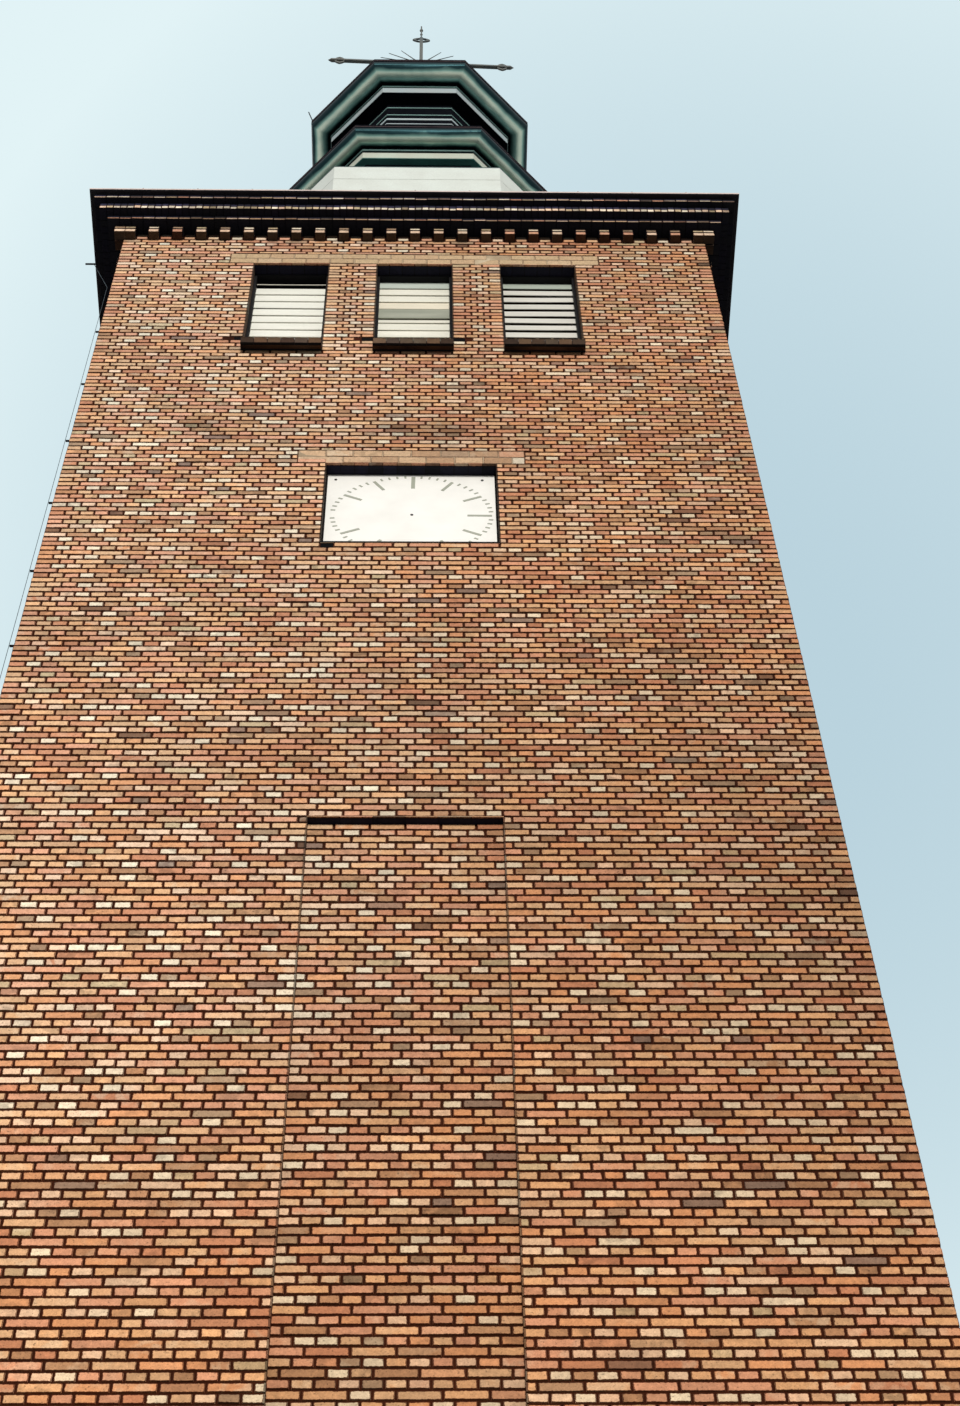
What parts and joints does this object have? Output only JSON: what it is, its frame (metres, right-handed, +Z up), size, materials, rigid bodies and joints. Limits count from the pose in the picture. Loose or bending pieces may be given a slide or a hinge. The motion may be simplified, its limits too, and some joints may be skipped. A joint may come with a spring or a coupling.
{
  "type": "brick clock tower, 1:2 scale model",
  "caption": "Square brick clock tower with louvred belfry windows, dentil cornice and an octagonal timber lantern carrying an iron cross.",
  "frame": {"origin": "centre of the tower's underside at ground level", "axes": "+Z up, -Y out of the front with the doorway, +X to the right seen from the front"},
  "size_m": [3.64, 3.584, 22.5262],
  "materials": {
    "brick": "matt fired clay",
    "arch_brick": "matt fired clay",
    "sill_brick": "weathered fired clay",
    "concrete": "cast",
    "door_timber": "oiled",
    "frame_timber": "weathered",
    "floor_timber": "sawn",
    "white_timber": "painted white",
    "dial_enamel": "gloss enamel",
    "copper": "patinated sheet copper",
    "edge_metal": "weathered sheet",
    "roof_sheet": "weathered sheet",
    "ball_metal": "dulled",
    "iron": "painted",
    "wire_steel": "galvanised"
  },
  "bodies": {
    "root": {"ground_floor": "concrete", "door_threshold": "concrete", "door_frame": "door_timber", "entrance_door": "door_timber", "door_lintel": "arch_brick", "front_wall": "brick", "back_wall": "brick", "left_wall": "brick", "right_wall": "brick", "belfry_wall_front": "brick", "belfry_wall_back": "brick", "belfry_wall_left": "brick", "belfry_wall_right": "brick", "clock_lintels": "arch_brick", "clock_dial_front": "dial_enamel", "clock_dial_back": "dial_enamel", "clock_dial_left": "dial_enamel", "clock_dial_right": "dial_enamel", "belfry_floor": "floor_timber", "belfry_sills": "sill_brick", "belfry_lintels": "arch_brick", "louvre_frames": "frame_timber", "louvre_boards_front": "white_timber", "louvre_boards_back": "white_timber", "louvre_boards_left": "white_timber", "louvre_boards_right": "white_timber", "cornice_dentils": "brick", "cornice_lower_course": "brick", "cornice_rowlock": "sill_brick", "cornice_top_course": "brick", "belfry_ceiling": "floor_timber", "roof_edge": "edge_metal", "tower_roof": "roof_sheet", "lantern_base": "white_timber", "lantern_skirt_roof": "copper", "lower_drum": "copper", "lower_fascia": "white_timber", "lower_cornice": "copper", "lower_roof": "copper", "upper_drum": "copper", "upper_fascia": "white_timber", "upper_cornice": "copper", "hood_roof": "copper", "finial_ball": "ball_metal", "finial_cross": "iron", "finial_rays": "iron", "conductor_wire": "wire_steel", "conductor_clips": "iron", "eaves_rod": "iron"}
  },
  "joints": []
}
